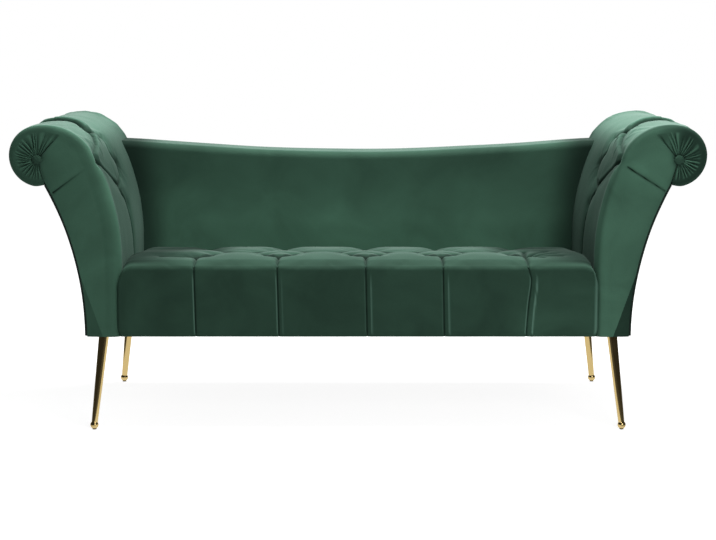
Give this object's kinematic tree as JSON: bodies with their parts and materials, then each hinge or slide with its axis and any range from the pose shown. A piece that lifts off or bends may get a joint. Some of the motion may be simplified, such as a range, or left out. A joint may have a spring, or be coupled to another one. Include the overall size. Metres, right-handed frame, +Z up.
{
  "type": "fainting couch",
  "caption": "Double scroll-arm couch with tufted seat and arms, a low dipped back and splayed metal legs, for sitting or reclining.",
  "frame": {"origin": "on the floor under the middle of the couch", "axes": "+X to the right along the length, +Y to the back, +Z up; the seat faces -Y"},
  "size_m": [1.8, 0.72, 0.8042],
  "materials": {
    "velvet": "dark green cotton velvet with a short pile",
    "dark_edge": "dark green cord edging",
    "gold_metal": "polished gold-coloured plate",
    "timber": "planed softwood",
    "plywood": "birch plywood",
    "bent_board": "bent hardboard",
    "tube_board": "wound board tube",
    "webbing": "woven elastic webbing",
    "spring_wire": "oiled spring wire",
    "zinc_steel": "zinc-plated steel",
    "felt": "needled felt",
    "padding": "upholstery foam",
    "twine": "waxed twine",
    "dust_cloth": "non-woven dust cloth",
    "glide_plastic": "moulded floor glide"
  },
  "bodies": {
    "root": {"front_seat_rail": "timber", "rear_seat_rail": "timber", "left_seat_rail": "timber", "right_seat_rail": "timber", "seat_cross_rails": "timber", "corner_posts": "timber", "seat_frame_dowels": "timber", "left_front_rib": "plywood", "left_rear_rib": "plywood", "right_front_rib": "plywood", "right_rear_rib": "plywood", "left_arm_stretchers": "timber", "right_arm_stretchers": "timber", "left_scroll_tube": "tube_board", "right_scroll_tube": "tube_board", "left_arm_board": "bent_board", "right_arm_board": "bent_board", "back_posts": "timber", "back_top_rail": "timber", "back_lower_rails": "timber", "back_webbing": "webbing", "seat_springs": "spring_wire", "spring_clips": "zinc_steel", "seat_felt": "felt", "seat_foam": "padding", "border_foam": "padding", "back_foam": "padding", "left_arm_foam": "padding", "right_arm_foam": "padding", "seat_cover": "velvet", "back_cover": "velvet", "outer_back_panel": "velvet", "left_arm_cover": "velvet", "right_arm_cover": "velvet", "left_outer_arm_panel": "velvet", "right_outer_arm_panel": "velvet", "left_front_facing": "velvet", "right_front_facing": "velvet", "left_rear_facing": "velvet", "right_rear_facing": "velvet", "left_scroll_fan": "velvet", "right_scroll_fan": "velvet", "scroll_buttons": "velvet", "left_piping": "dark_edge", "right_piping": "dark_edge", "seat_tuft_buttons": "velvet", "arm_tuft_buttons": "velvet", "tufting_twine": "twine", "dust_cover": "dust_cloth", "front_left_leg": "gold_metal", "front_right_leg": "gold_metal", "rear_left_leg": "gold_metal", "rear_right_leg": "gold_metal", "leg_plates": "zinc_steel", "leg_screws": "zinc_steel", "floor_glides": "glide_plastic", "rib_screws": "zinc_steel"}
  },
  "joints": []
}
